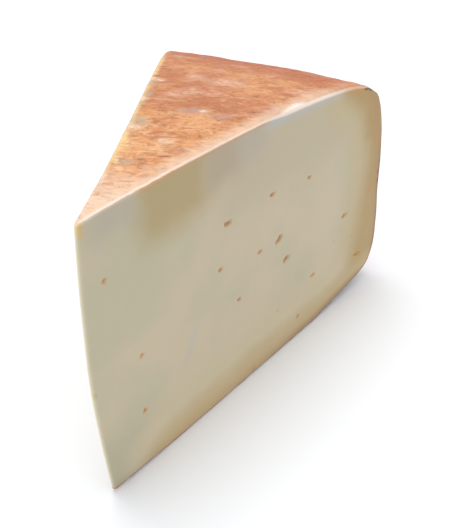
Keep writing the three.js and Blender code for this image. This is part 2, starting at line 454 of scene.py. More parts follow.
def grown(name, mesh, tree, inputs):
    """The plain mesh that a tree makes of another mesh."""
    source = added(name + "_source", mesh)
    modifier = source.modifiers.new(tree.name, "NODES")
    modifier.node_group = tree
    sockets = {s.name: s for s in tree.interface.items_tree if s.in_out == "INPUT"}
    for label, value in inputs.items():
        modifier[sockets[label].identifier] = value
    shaped = source.evaluated_get(bpy.context.evaluated_depsgraph_get())
    result = bpy.data.meshes.new_from_object(shaped)
    bpy.data.objects.remove(source)
    result.name = name
    return result


def slice_tree(inputs):
    """A closed box of quads, bent into the slice, with the low relief of the rind."""
    tree, given = geometry_tree("slice of a wheel", inputs)
    counts = {
        f"Vertices {axis}": given[f"Steps {label}"] + 1
        for axis, label in zip("XYZ", ("across", "along", "up"))
    }
    box = node(tree, "GeometryNodeMeshCube", counts)
    position = Field(tree.nodes.new("GeometryNodeInputPosition").outputs[0])
    w = sizes_of({name: given[name] for name in {**SLICE, **SLICE_STEPS}})
    shares = [v + 0.5 for v in parts(position)]
    where, measures = slice_skin(w, shares)
    geometry = Field(box.outputs[0])
    for name, value in measures.items():
        geometry = stored(tree, geometry, name, value)
    geometry = moved(tree, geometry, position=vector(*where))
    rind = read(tree, "rind")
    normal = Field(tree.nodes.new("GeometryNodeInputNormal").outputs[0])
    swell = given["Swell depth"] * full_noise(position, given["Swell pitch"])
    wrinkle = given["Wrinkle depth"] * full_noise(position, given["Wrinkle pitch"])
    wave = given["Cut waviness"] * full_noise(position, given["Cut wave pitch"])
    level = (given["Swell depth"] + given["Wrinkle depth"]) / 2
    depth = blend(wave, swell + wrinkle - level, rind)
    geometry = moved(tree, geometry, offset=vectors("SCALE", normal, depth * -1))
    end_tree(tree, geometry, given["Material"])
    return tree


def hollow_tree(inputs):
    """Sinks a ragged hollow at each mark, and stores how deep it is and how far its stain runs."""
    tree, given = geometry_tree("eyes and cracks", inputs)
    info = node(tree, "GeometryNodeObjectInfo", {"Object": given["Marks"]})
    marks = Field(info.outputs["Geometry"])
    position = Field(tree.nodes.new("GeometryNodeInputPosition").outputs[0])
    nearest = node(
        tree, "GeometryNodeSampleNearest", {"Geometry": marks, "Sample Position": position}
    )
    index = Field(nearest.outputs[0])

    def of_mark(value):
        inputs = {"Geometry": marks, "Value": value, "Index": index}
        made = node(tree, "GeometryNodeSampleIndex", inputs, data_type="FLOAT_VECTOR")
        return Field(made.outputs[0])

    away = vectors("SUBTRACT", position, of_mark(position))
    axes = [of_mark(read(tree, name, "FLOAT_VECTOR")) for name in ("long", "short", "inward")]
    along, across, deep = (vectors("DOT_PRODUCT", away, axis) for axis in axes)
    depth = vectors("LENGTH", axes[2])
    through = deep / depth / given["Skin thickness"]
    ragged = (full_noise(position, given["Rim pitch"]) - 0.5) * given["Rim raggedness"]

    def reach(margin):
        wide = along / (1 + margin * vectors("LENGTH", axes[0]))
        high = across / (1 + margin * vectors("LENGTH", axes[1]))
        return length_of(wide * wide + high * high + through * through)

    hollow = ease(reach(0) + ragged, given["Rim start"], given["Rim end"])
    stain = ease(reach(given["Stain reach"]) + ragged / 2, *STAIN_SPAN)
    geometry = stored(tree, given["Geometry"], "stain", stain)
    geometry = stored(tree, geometry, "hollow", hollow)
    inward = vectors("SCALE", axes[2], read(tree, "hollow"))
    geometry = moved(tree, geometry, offset=inward)
    end_tree(tree, geometry, given["Material"])
    return tree


# Where the eyes and cracks are


def random_numbers(seed):
    """An endless even spread of numbers from 0 to 1, always the same for one seed."""
    state = seed
    whole = 0xFFFFFFFF
    while True:
        value = state = (state + 0x6D2B79F5) & whole
        value = ((value ^ (value >> 15)) * (value | 1)) & whole
        value ^= (value + (((value ^ (value >> 7)) * (value | 61)) & whole)) & whole
        yield ((value ^ (value >> 14)) & whole) / (whole + 1)


def mark(centre, level, length, height, depth, slant=0):
    """A hollow's centre, its long and short axes over its half lengths, and its depth inwards."""
    upright = Vector((0, 0, 1))
    outward = level.cross(upright)
    turn = math.radians(slant)
    long_way = level * math.cos(turn) + upright * math.sin(turn)
    short_way = upright * math.cos(turn) - level * math.sin(turn)
    return SimpleNamespace(
        centre=Vector(centre) - MIDDLE_OF_SLICE,
        long=long_way / (length * MM / 2),
        short=short_way / (height * MM / 2),
        inward=-outward * depth * MM,
    )


def eye_mark(w, side, distance, middle, length, height, slant):
    """An eye in one of the cuts: side is 1 for the right cut and -1 for the left one."""
    along = distance * MM / w.wedge_length
    low = base_height(w, along)
    up = (middle * MM - low) / (top_height(w, along, side) - low)
    outward = Vector((side * math.cos(w.half_angle), -math.sin(w.half_angle), 0))
    level = Vector((0, 0, 1)).cross(outward)
    depth = LARGEST_EYE["depth"] * math.sqrt(height / LARGEST_EYE["height"])
    return mark(place(w, side, along, up), level, length, height, depth, side * slant)


def crack_mark(w, across, up, length, height, depth):
    """A level crack in the rind of the wheel's side."""
    angle = across * w.half_angle
    level = Vector((-math.cos(angle), math.sin(angle), 0))
    return mark(place(w, across, 1, up), level, length, height, depth)


def all_marks(w):
    numbers = random_numbers(RANDOM_SEED)
    next(numbers)

    def between(span):
        return blend(span[0], span[1], next(numbers))

    left_eyes = []
    for i in range(LEFT_EYES["count"]):
        row = i * LEFT_EYES["rows"] // LEFT_EYES["count"]
        middle = blend(LEFT_EYES["lowest"], LEFT_EYES["highest"], row / (LEFT_EYES["rows"] - 1))
        middle += between(LEFT_EYES["jitter"])
        length = between(LEFT_EYE["length"])
        height = length * between(LEFT_EYE["flatness"])
        distance = between(LEFT_EYE["distance"])
        left_eyes.append((distance, middle, length, height, between(LEFT_EYE["slant"])))
    cracks = []
    for i in range(CRACKS["count"]):
        share = i / (CRACKS["count"] - 1)
        across = blend(-CRACKS["outermost"], CRACKS["outermost"], share)
        across += between(CRACKS["jitter"])
        cracks.append({"across": across, **{name: between(span) for name, span in CRACK.items()}})
    eyes = [(1, *eye) for eye in RIGHT_EYES] + [(-1, *eye) for eye in left_eyes]
    return [eye_mark(w, *eye) for eye in eyes] + [crack_mark(w, **crack) for crack in cracks]


def mark_points(marks):
    """A loose point for each mark, with its axes as attributes."""
    mesh = bpy.data.meshes.new("marks")
    mesh.from_pydata([m.centre for m in marks], [], [])
    for name in ("long", "short", "inward"):
        values = mesh.attributes.new(name, "FLOAT_VECTOR", "POINT")
        values.data.foreach_set("vector", [v for m in marks for v in getattr(m, name)])
    return added("marks", mesh)


def refine(mesh, marks):
    """Splits the skin round each mark into finer faces, and leaves it closed."""
    bm = bmesh.new()
    bm.from_mesh(mesh)
    for _ in range(FINE_ROUNDS):
        bm.verts.ensure_lookup_table()
        tree = KDTree(len(bm.verts))
        for vertex in bm.verts:
            tree.insert(vertex.co, vertex.index)
        tree.balance()
        near = set()
        for m in marks:
            halves = [1 / m.long.length, 1 / m.short.length]
            for co, index, _ in tree.find_range(m.centre, max(halves) + 2 * FINE_MARGIN):
                away = co - m.centre
                wide = away.dot(m.long) * halves[0] / (halves[0] + FINE_MARGIN)
                high = away.dot(m.short) * halves[1] / (halves[1] + FINE_MARGIN)
                if diagonal(wide, high) < 1:
                    near.add(bm.verts[index])
        edges = [e for e in bm.edges if near.issuperset(e.verts)]
        bmesh.ops.subdivide_edges(bm, edges=edges, cuts=1, use_grid_fill=True)
        bm.verts.index_update()
    bm.to_mesh(mesh)
    bm.free()


def kept_within(mesh, box):
    """Flattens what stands out of a box, less a hair's breadth."""
    low, high = ([c + inset for c in end] for end, inset in zip(box, (HAIR, -HAIR)))
    for vertex in mesh.vertices:
        vertex.co = [min(max(c, a), b) for c, a, b in zip(vertex.co, low, high)]


def cheese_wedge(material):
    w = sizes_of(SLICE)
    slice_inputs = {**SLICE, **SLICE_STEPS, **RELIEF, "Material": material}
    start = bpy.data.meshes.new("start")
    skin = grown("skin", start, slice_tree(slice_inputs), slice_inputs)
    skin.transform(Matrix.Translation(-MIDDLE_OF_SLICE))
    marks = all_marks(w)
    refine(skin, marks)
    points = mark_points(marks)
    hollow_inputs = {**HOLLOW, "Marks": points, "Material": material}
    mesh = grown("cheese_wedge_skin", skin, hollow_tree(hollow_inputs), hollow_inputs)
    bpy.data.objects.remove(points)
    kept_within(mesh, cad_box)
    return added("wedge", mesh)


# The stage. Azimuths are from -Y and, like elevations, in degrees.


CAMERA = {
    "place": Vector((102.2, -226.03, 214.26)) * MM,
    "azimuth": 22.39,
    "elevation": 35.1,
    "sensor width": 36,
    "focal length": 60,
    "nearest": 10 * MM,
}
LAMP = {
    "aim": Vector((0, 0, 50 * MM)),
    "azimuth": -120,
    "elevation": 81,
    "distance": 1.4,
    "size": 0.7,
    "power": 7.4,
}
SKY = {"Color": (1, 1, 1, 1), "Strength": 0.87}
FLOOR_REACH = 4
FLOOR_FINISH = {
    "Base Color": (0.93, 0.95, 0.985, 1),
    "Roughness": 0.9,
    "Specular IOR Level": 0.2,
}


def plain_material(name, finish):
    """A material and its shader, with the values that are the same all over the surface."""
    material = bpy.data.materials.new(name)
    material.use_nodes = True
    shader = material.node_tree.nodes["Principled BSDF"]
    for label, value in finish.items():
        shader.inputs[label].default_value = value
    return material, shader


def floor():
    mesh = bpy.data.meshes.new("floor")
    sides = ((-1, -1), (1, -1), (1, 1), (-1, 1))
    corners = [(x * FLOOR_REACH, y * FLOOR_REACH, 0) for x, y in sides]
    mesh.from_pydata(corners, [], [(0, 1, 2, 3)])
    material, _ = plain_material("pale floor", FLOOR_FINISH)
    mesh.materials.append(material)
    added("floor", mesh)


def direction(spec):
    """A unit vector from the wedge towards a camera or a lamp."""
    a, e = math.radians(spec["azimuth"]), math.radians(spec["elevation"])
    return Vector((math.sin(a) * math.cos(e), -math.cos(a) * math.cos(e), math.sin(e)))


def turned_back(made, away):
    """Turns a camera or a lamp to face against a direction."""
    made.rotation_euler = (-away).to_track_quat("-Z", "Y").to_euler()


def studio():
    """Even light from all round, and a soft square lamp over the wedge."""
    scene = bpy.context.scene
    scene.view_settings.view_transform = "Standard"
    world = bpy.data.worlds.new("studio")
    scene.world = world
    world.use_nodes = True
    for label, value in SKY.items():
        world.node_tree.nodes["Background"].inputs[label].default_value = value
    lamp = bpy.data.lights.new("ceiling", "AREA")
    lamp.size = LAMP["size"]
    lamp.energy = LAMP["power"]
    away = direction(LAMP)
    made = added("ceiling", lamp)
    made.location = LAMP["aim"] + away * LAMP["distance"]
    turned_back(made, away)


def camera():
    data = bpy.data.cameras.new("camera")
    data.sensor_width = CAMERA["sensor width"]
    data.lens = CAMERA["focal length"]
    data.clip_start = CAMERA["nearest"]
    made = added("camera", data)
    made.location = CAMERA["place"]
    turned_back(made, direction(CAMERA))
    bpy.context.scene.camera = made


# Materials


def seen(red, green, blue):
    """A colour as it looks on a screen, from 0 to 255, made linear for a socket."""
    shares = (c / 255 for c in (red, green, blue))
    linear = (c / 12.92 if c <= 0.04045 else ((c + 0.055) / 1.055) ** 2.4 for c in shares)
    return (*linear, 1)


PASTE = {
    "cool": seen(187, 179, 151),
    "warm": seen(196, 182, 155),
    "shade": seen(174, 168, 141),
    "upper": seen(187, 175, 147),
    "olive": seen(174, 154, 110),
    "mauve": seen(175, 158, 134),
    "lilac": seen(178, 167, 151),
    "sand": seen(190, 173, 136),
    "tan": seen(176, 149, 98),
    "brown": seen(172, 136, 86),
    "foot": seen(194, 171, 129),
    "low": seen(199, 186, 156),
    "bloom": seen(182, 178, 171),
    "smear": seen(184, 178, 168),
    "ochre": seen(190, 142, 84),
    "corner": seen(206, 170, 100),
    "orange": seen(190, 150, 112),
    "mark": seen(186, 148, 100),
    # The paste's pale cream at the rounded tip edge, brightened into a painted highlight of light
    # from the left
    "tip": seen(246, 236, 208),
    # Painted highlight on the rounded edge between the rind on top and the right cut, over worn
    # paste
    "edge": seen(238, 220, 207),
    "rim": seen(150, 112, 80),
    # Painted shade: the shadow in the gap under the lower rounded edge of the cuts
    "contact": seen(100, 90, 82),
    "mould": seen(92, 68, 60),
}
RIND = {
    "orange": seen(199, 128, 86),
    "bright": seen(222, 157, 104),
    "light": seen(240, 192, 144),
    "brown": seen(178, 106, 66),
    "deep": seen(142, 84, 60),
    "red": seen(176, 92, 54),
    "rose": seen(226, 180, 154),
    "cream": seen(236, 208, 182),
    "grey": seen(184, 166, 140),
    "lilac": seen(184, 150, 138),
    "speck": seen(122, 80, 72),
    "yellow": seen(240, 204, 148),
    # Painted highlight on the rounded right edge of the rind, over pale paste where the rind is
    # worn off
    "white": seen(246, 238, 230),
}
EYE = {
    "orange": seen(214, 162, 104),
    "brown": seen(187, 148, 116),
}

# Faint marks in the cut paste and ochre ones beside the side's rind: distance from the tip, height
# over the base and width
FAINT_MARKS = [
    (0.6, 45, 1.3),
    (137.4, 27.8, 1.3),
    (124.2, 31.6, 1),
    (88.7, 20.6, 1),
    (75.4, 2.5, 2),
]
OCHRE_MARKS = [(146.7, 43.5, 1.8), (151.6, 47.6, 2.6)]

# Specks of mould where the right cut meets the side: height, width and distance in from the edge
MOULD_SPECKS = [
    (87.8, 1.1, 1.4),
    (86.4, 1.3, 1.4),
    (84.2, 1.5, 1.4),
    (81.6, 1.6, 1.4),
    (49, 1.6, 0.4),
    (45.2, 1.3, 0.4),
]
MARK_CORE = 0.3
MOULD_CORE = 0.4
MOULD_LENGTHENING = 0.7

# Broad patches of the cut paste: tint, strength, the cuts that have it, start and end from the tip,
# bottom, top and softness
GROUND_PATCHES = [
    ("shade", 0.9, "both", -20, 16, -20, 22, 14),
    ("upper", 0.9, "both", 55, 200, 72, 140, 10),
]
UPPER_PATCHES = [
    ("olive", 0.95, "right", 22, 52, 82, 130, 7),
    ("mauve", 0.9, "right", 50, 67, 87, 130, 5),
    ("lilac", 0.85, "right", 65, 79, 88, 130, 6),
    ("lilac", 0.8, "both", 5, 22, 92, 130, 5),
]
ORANGE_PATCH = (24, 79, 60, 130, 3)

# Spans over which the tints of the paste fade in. Those that say "along" are distances from the
# tip. The rest are heights, distances from an edge, or shares.
PASTE_SPANS = {
    "under the top": (62, 72),
    "warm along": (10, 55),
    "warm": (0.46, 0.72),
    "low": (30, 14),
    "low along": (14, 40),
    "sand at the foot": (28, 12),
    "sand": (0, 0.42),
    "tan at the foot": (17, 7),
    "tan": (0.34, 0.8),
    "brown": (0.5, 1),
    "brown height": (36, 56),
    "smear": (3.4, 0.3),
    "smear bottom": (26, 36),
    "smear top": (48, 38),
    "bloom": (5.2, 1.8),
    "bloom start along": (75, 83),
    "bloom end along": (134, 106),
    "orange": (-1.4, -0.3),
    "corner along": (4.5, 1.5),
    "corner height": (94.5, 98),
    "heel edge": (4.4, 1.6),
    "heel edge along": (120, 130),
    "heel edge height": (80, 86),
    "grain": (0.5, 0.8),
    "tip edge": (1.4, 0.2),
    "left of the tip": (1, -1),
    "side along": (143, 150),
    "off the tip along": (0, 5),
    "soft rim": (-5.5, -1.2),
    "soft rim along": (55, 130),
    "rim": (-1.5, -0.5),
    "side rim": (-2.8, -1),
}

# Noise that moves the tints of the paste: its pitch, how far it moves them, and its detail
PASTE_WANDER = {
    "distance": (14, 6),
    "height": (11, 5),
    "rind distance": (2.2, 0.9),
    "marks": (1.1, 1.6, 3),
}

# How far the tan beside the rind reaches into the paste, and how it slants at the heel
TAN = {
    "reach": 32,
    "heel": 157,
    "low slant": (56, 0.16),
    "high slant": (60, 0.22),
    "foot slope": 1.35,
    "foot along": (0, 34),
    "shoulder slope": 1.2,
    "shoulder height": (60, 70),
    "shoulder along": (98, 142),
    "roundness": 4,
}
SMEAR = {"distance": 40.6, "height": 34, "slant": 0.43}

# The pale line between the rind on top and the right cut, partly a painted highlight on the rounded
# edge and partly paste where the rind is worn off: how far its middle lies past the edge at the
# tip, half-way and at the heel, its half widths, and its strength
EDGE_HIGHLIGHT_AND_WEAR = {
    "middles": (1.7, 0.5, -0.2),
    "off the tip": (15, 55),
    "half widths": (0.8, 1.6),
    "widening": (76, 92),
    "strength": 0.92,
    "dimming": 0.25,
    "dim start": (22, 40),
    "dim end": (95, 80),
    "core": 0.3,
    "heel share": 0.35,
    "off the heel": (134, 110),
}

# Spots in the rind on top: x and y from the middle of the slice, length, width, tint and strength
RIND_SPOTS = [
    (3, -1, 26, 12, "brown", 0.6),
    (-0.9, 20.7, 14, 9, "rose", 0.8),
    (-11.2, 20.8, 8, 6, "rose", 0.6),
    (-7.7, 8.5, 9, 6, "rose", 0.65),
    (-10.6, 4.2, 8, 5, "rose", 0.55),
    (-0.7, 10.5, 8, 5, "rose", 0.5),
    (-4.1, 42, 9, 6, "rose", 0.5),
    (-24.3, 40.5, 12, 5, "rose", 0.6),
    (21.4, 26.9, 8, 6, "rose", 0.55),
    (3.2, -42.6, 4, 4.4, "rose", 0.6),
    (-0.6, -49, 6, 2.2, "rose", 0.6),
    (7.9, -35.7, 4, 5, "rose", 0.45),
    (-1.1, -4.8, 11, 4, "lilac", 0.85),
    (8.6, -4.6, 8, 4, "lilac", 0.75),
    (-21, 8.2, 4, 6, "grey", 0.75),
    (-18.2, 0.5, 3.6, 6, "grey", 0.75),
    (-17.2, -5.8, 3, 3.4, "grey", 0.8),
    (-12.3, -18.2, 7, 7.6, "grey", 0.85),
    (-4.5, -41.7, 8, 4.6, "grey", 0.9),
    (-20.8, 12.6, 5.4, 3.6, "cream", 0.7),
    (-18.4, -2.8, 4, 3, "cream", 0.75),
    (-11, -22, 6, 3.4, "cream", 0.8),
    (-6.5, -51.4, 3, 8, "cream", 0.7),
    (1.1, -26.4, 6, 4.6, "cream", 0.6),
    (2.5, -4.2, 4, 2.4, "cream", 0.7),
    (-9.7, -33.1, 6, 12, "yellow", 0.75),
    (-7.3, -41.6, 3, 7, "yellow", 0.7),
    (-23, 15.4, 4, 2.4, "speck", 0.5),
    (-25.1, 25.4, 4, 2, "speck", 0.45),
    (-4.4, -17.7, 2.8, 1.3, "speck", 0.85),
    (4.2, -35.5, 4.4, 1.7, "speck", 0.6),
    (-1.8, -54, 3.4, 1.8, "speck", 0.5),
    (16.5, 2.8, 5, 1.8, "speck", 0.5),
    (11.4, 29.7, 6, 3, "speck", 0.35),
]

# Streaks drawn along the rind, with the pitch of each kind, the span of the noise that shows, and
# for some their offset and detail
STREAKS = {"turn": math.radians(22), "stretch": 2}
STREAK_KINDS = {
    "pale": (3.2, 0.48, 0.64, 7),
    "brown": (2.4, 0.48, 0.64),
    "dark": (1.1, 0.53, 0.66, 31),
    "fine pale": (1.2, 0.55, 0.68, 47),
    "rose": (4.5, 0.56, 0.68, 53, 5),
    "mottle": (1.2, 0.45, 0.6, 87),
    "tip": (1.8, 0.48, 0.62, 17),
    "gloss": (3, 0.4, 0.6),
    "broad relief": (2.4, 0.3, 0.7),
    "fine relief": (1.1, 0.5, 0.7, 31),
}
RIND_SPANS = {
    "near the tip": (80, 52),
    "bright": (0.42, 0.74),
    "blotches": (0.5, 0.64),
    "folds": (0.05, 0),
    "folded parts": (0.42, 0.56),
    "far": (58, 76),
    "left half": (8, -8),
    "down the side": (82, 60),
    "left edge": (3, 0.6),
    "left edge along": (12, 34),
    "spot": (1.4, 0.2),
    "right edge": (8, 1.2),
    "right edge along": (140, 110),
    "tip": (38, 12),
    "specks": (0.13, 0.06),
    "specked parts": (0.5, 0.6),
    "roll": (108, 128),
    "roll height": (66, 80),
    "roll at the edge": (8, 2),
    "white": (1.2, 0.5),
}
# A white spot on the rounded right edge of the rind, partly a painted highlight and partly paste
# where the rind is worn off: distance from the tip, half length and half width
WHITE_HIGHLIGHT_AND_WEAR_SPOT = {"distance": 95, "half length": 7, "half width": 2.8}

# Where the rind starts past the edge on the side, on top and on top at the tip, and its soft width
RIND_START = {"side": -0.6, "top": 0.1, "tip": 0.7, "width": 0.7}
SEAM_SPANS = {
    "top": (66, 74),
    "tip": (40, 15),
    # The contact shade spans below set where the painted shade lies on the lower rounded edge
    "contact": (-1.1, -0.1),
    "contact height": (9, 6),
    "contact along": (50, 115),
    "mould along": (134, 138),
    "brown eyes start": (40, 55),
    "brown eyes end": (112, 98),
    "stain": (0.1, 1),
    "hollow": (0.05, 0.85),
}
CHEESE_FINISH = {
    "Subsurface Weight": 0.15,
    "Subsurface Radius": (1, 0.65, 0.35),
    "Subsurface Scale": 2 * MM,
    "Specular IOR Level": 0.4,
}
PASTE_ROUGHNESS = (0.42, 0.56)
RIND_ROUGHNESS = (0.5, 0.7)
PASTE_RELIEF = 0.35
BUMP = {"Strength": 0.7, "Distance": 0.35 * MM}

# Distance from the wheel's axis to the tip of the slice
AXIS_TO_TIP = 2.5
PLACE_SOCKETS = {"Place": "Vector", "Tip distance": "Float", "Height": "Float", "Right": "Float"}
SURFACE_SOCKETS = {"Colour": "Color", "Roughness": "Float", "Relief": "Float"}


def shader_group(name, inputs, outputs):
    """An empty group of shader nodes, and its inputs by name."""
    tree = bpy.data.node_groups.new(name, "ShaderNodeTree")
    for label, kind in inputs.items():
        tree.interface.new_socket(label, in_out="INPUT", socket_type="NodeSocket" + kind)
    for label, kind in outputs.items():
        tree.interface.new_socket(label, in_out="OUTPUT", socket_type="NodeSocket" + kind)
    start = tree.nodes.new("NodeGroupInput")
    return tree, {s.name: Field(s) for s in start.outputs if s.name}


def used(tree, group, inputs):
    """A group put to use in a tree: its outputs by name."""
    made = tree.nodes.new("ShaderNodeGroup")
    made.node_tree = group
    for name, value in inputs.items():
        fill(made.inputs[name], value)
    return {s.name: Field(s) for s in made.outputs}


def painted(base, colour, mask):
    """A colour laid over another through a mask."""
    made = node(tree_of(base, colour, mask), "ShaderNodeMix", data_type="RGBA")
    for index, value in {0: mask, 6: base, 7: colour}.items():
        fill(made.inputs[index], value)
    return Field(made.outputs[2])


def cells(place, pitch):
    """Distance from the middle of the nearest cell, with cells about a pitch across."""
    inputs = {"Vector": vectors("SCALE", place, 1 / pitch), "Scale": 1}
    made = node(tree_of(place), "ShaderNodeTexVoronoi", inputs)
    return Field(made.outputs["Distance"])


def shifted(place, amount, pitch):
    """A place moved about by noise, so that straight patterns on it turn ragged."""
    inputs = {"Vector": vectors("SCALE", place, 1 / pitch), "Scale": 1, "Detail": 3}
    made = node(tree_of(place), "ShaderNodeTexNoise", inputs)
    push = vectors("SUBTRACT", Field(made.outputs["Color"]), (0.5, 0.5, 0.5))
    return vectors("ADD", place, vectors("SCALE", push, amount))


def wander(place, pitch, amount, detail=2):
    """Noise that runs half its amount to either side of zero."""
    return (noise(place, pitch, detail=detail) - 0.5) * amount


def fades_of(spans):
    """A function that eases a value along one of the named spans."""
    return lambda value, name: ease(value, *spans[name])


def dab(gap, width, core):
    """A round mask: full in the core, which is a share of the width, and gone at the width."""
    return ease(gap, width, width * core)


def slice_place_group():
    """From Object coordinates to millimetres, with the distance from the tip and the side."""
    tree, given = shader_group("place on the slice", {"Object": "Vector"}, PLACE_SOCKETS)
    point = vectors("SCALE", given["Object"], 1 / MM)
    x, y, z = parts(point)
    radius = diagonal(x, y + MIDDLE_OF_SLICE.y / MM)
    outputs = {
        "Place": point,
        "Tip distance": radius - AXIS_TO_TIP,
        "Height": z,
        "Right": ease(x, -0.3, 0.3),
    }
    node(tree, "NodeGroupOutput", outputs)
    return tree


def patch_group():
    """A soft-edged patch between two distances from the tip and two heights."""
    spans = {"Start": "Float", "End": "Float", "Bottom": "Float", "Top": "Float"}
    tree, given = shader_group(
        "soft patch",
        {"Tip distance": "Float", "Height": "Float", **spans, "Softness": "Float"},
        {"Mask": "Float"},
    )
    soft = given["Softness"]
    along = ease(given["Tip distance"], given["Start"] - soft, given["Start"] + soft)
    along = along * ease(given["Tip distance"], given["End"] + soft, given["End"] - soft)
    up = ease(given["Height"], given["Bottom"] - soft, given["Bottom"] + soft)
    up = up * ease(given["Height"], given["Top"] + soft, given["Top"] - soft)
    node(tree, "NodeGroupOutput", {"Mask": along * up})
    return tree


def paste_group(patch):
    """The cut paste: beige with soft clouds, tan near the rind, and a waxy, faintly pored skin."""
    tree, given = shader_group(
        "cut paste",
        {**PLACE_SOCKETS, "Rind distance": "Float", "Tip edge": "Float", "Past edge": "Float"},
        SURFACE_SOCKETS,
    )
    fade = fades_of(PASTE_SPANS)
    spot = given["Place"]
    x, y, z = parts(spot)
    right = given["Right"]
    past_edge = given["Past edge"]
    true_distance = given["Tip distance"]
    true_height = given["Height"]
    distance = true_distance + wander(spot, *PASTE_WANDER["distance"])
    height = true_height + wander(vectors("ADD", spot, (40, 0, 0)), *PASTE_WANDER["height"])
    rind_distance = given["Rind distance"] + wander(spot, *PASTE_WANDER["rind distance"])
    under_top = fade(true_height, "under the top")

    def patched(start, end, bottom, top, softness):
        place = {"Tip distance": distance, "Height": height, "Softness": softness}
        spans = {"Start": start, "End": end, "Bottom": bottom, "Top": top}
        return used(tree, patch, {**place, **spans})["Mask"]

    def with_patches(colour, patches):
        for tint, strength, cuts, *spans in patches:
            mask = patched(*spans) * strength
            colour = painted(colour, PASTE[tint], mask * right if cuts == "right" else mask)
        return colour

    warmth = noise(spot, 30, detail=3) + fade(distance, "warm along") * 0.16
    colour = painted(PASTE["cool"], PASTE["warm"], fade(warmth, "warm"))
    colour = with_patches(colour, GROUND_PATCHES)

    closeness = rind_closeness(distance, height, given["Rind distance"])
    low = fade(height, "low") * fade(distance, "low along")
    colour = painted(colour, PASTE["low"], low * 0.8)
    sand = painted(PASTE["sand"], PASTE["low"], fade(true_height, "sand at the foot"))
    colour = painted(colour, sand, fade(closeness, "sand") * 0.9)
    tan = painted(PASTE["tan"], PASTE["foot"], fade(true_height, "tan at the foot"))
    colour = painted(colour, tan, fade(closeness, "tan"))
    brown = fade(closeness, "brown") * fade(height, "brown height")
    colour = painted(colour, PASTE["brown"], brown * 0.8)
    colour = with_patches(colour, UPPER_PATCHES)

    smear = fade(smear_gap(true_distance, true_height), "smear")
    smear = smear * fade(true_height, "smear bottom") * fade(true_height, "smear top")
    colour = painted(colour, PASTE["smear"], smear * right * 0.55)
    # A cool grey band in the right cut just under its rounded top edge, from the middle towards the
    # side
    bloom = fade(distance, "bloom start along") * fade(distance, "bloom end along")
    bloom = bloom * fade(rind_distance, "bloom")
    colour = painted(colour, PASTE["bloom"], bloom * under_top * right)
    orange = fade(past_edge, "orange") * patched(*ORANGE_PATCH) * under_top * right
    colour = painted(colour, PASTE["orange"], orange * 0.7)
    corner_mask = fade(true_distance, "corner along") * fade(true_height, "corner height")
    colour = painted(colour, PASTE["corner"], corner_mask * 0.9)
    heel_edge = fade(rind_distance, "heel edge") * fade(true_distance, "heel edge along")
    heel_edge = heel_edge * fade(true_height, "heel edge height")
    colour = painted(colour, PASTE["ochre"], heel_edge * 0.85)
    ragged = wander(spot, *PASTE_WANDER["marks"])

    def marked(colour, marks, tint, strength):
        for along, up, width in marks:
            gap = diagonal(true_distance - along, true_height - up) + ragged
            colour = painted(colour, tint, dab(gap, width, MARK_CORE) * strength)
        return colour

    colour = marked(colour, FAINT_MARKS, PASTE["mark"], 0.5)
    colour = marked(colour, OCHRE_MARKS, PASTE["ochre"], 0.7)
    grain = noise(spot, 0.9, detail=4, roughness=0.65)
    colour = painted(colour, PASTE["cool"], fade(grain, "grain") * 0.12)
    # The rounded tip edge: pale cream paste with a painted highlight of light from the left
    tip_cream_and_highlight = fade(given["Tip edge"], "tip edge") * fade(x, "left of the tip")
    colour = painted(colour, PASTE["tip"], tip_cream_and_highlight * 0.95)

    at_side = fade(true_distance, "side along")
    lower = (1 - under_top) * fade(true_distance, "off the tip along")
    strength = blend(0.12, 0.6, fade(true_distance, "soft rim along")) * (1 - at_side * 0.6)
    colour = painted(colour, PASTE["rim"], fade(past_edge, "soft rim") * strength * lower)
    rim = larger(fade(past_edge, "rim") * lower, fade(past_edge, "side rim") * at_side)
    colour = painted(colour, PASTE["rim"], rim * 0.8)
    drawn = noise(vector(x * 0.12, y * 0.12, z), 1.6, detail=3)
    outputs = {
        "Colour": colour,
        "Roughness": blend(*PASTE_ROUGHNESS, noise(spot, 6)),
        "Relief": grain * 0.5 + drawn * 0.35,
    }
    node(tree, "NodeGroupOutput", outputs)
    return tree


def rind_closeness(distance, height, rind_distance):
    """How near the cut paste is to the rind of the side, base and shoulder: 0 far off, 1 at it."""
    low, low_slope = TAN["low slant"]
    high, high_slope = TAN["high slant"]
    slant = larger(low - height, 0) * low_slope + larger(height - high, 0) * high_slope
    heel = 1 - (TAN["heel"] - distance - slant) / TAN["reach"]
    foot = 1 - height * TAN["foot slope"] / TAN["reach"]
    foot = foot * ease(distance, *TAN["foot along"])
    shoulder = 1 - rind_distance * TAN["shoulder slope"] / TAN["reach"]
    shoulder = shoulder * ease(height, *TAN["shoulder height"])
    shoulder = shoulder * ease(distance, *TAN["shoulder along"])
    near = [larger(share, 0) ** TAN["roundness"] for share in (heel, foot, shoulder)]
    return (near[0] + near[1] + near[2]) ** (1 / TAN["roundness"])


def smear_gap(distance, height):
    """How far a point of the cut lies from the middle of the pale smear."""
    return magnitude(distance - (SMEAR["distance"] + (height - SMEAR["height"]) * SMEAR["slant"]))


def edge_highlight_and_wear(past_edge, distance):
    """The pale line where the rind on top meets the right cut, wider towards the side: a painted
    highlight on the rounded edge, over paste where the rind is worn off.
    """
    fade = fades_of(EDGE_HIGHLIGHT_AND_WEAR)
    at_tip, between, at_heel = EDGE_HIGHLIGHT_AND_WEAR["middles"]
    widening = fade(distance, "widening")
    middle = blend(blend(at_tip, between, fade(distance, "off the tip")), at_heel, widening)
    half = blend(*EDGE_HIGHLIGHT_AND_WEAR["half widths"], widening)
    dim = EDGE_HIGHLIGHT_AND_WEAR["dimming"] * fade(distance, "dim start") * fade(distance, "dim end")
    strength = EDGE_HIGHLIGHT_AND_WEAR["strength"] - dim
    strength = strength * blend(EDGE_HIGHLIGHT_AND_WEAR["heel share"], 1, fade(distance, "off the heel"))
    return dab(magnitude(past_edge - middle), half, EDGE_HIGHLIGHT_AND_WEAR["core"]) * strength


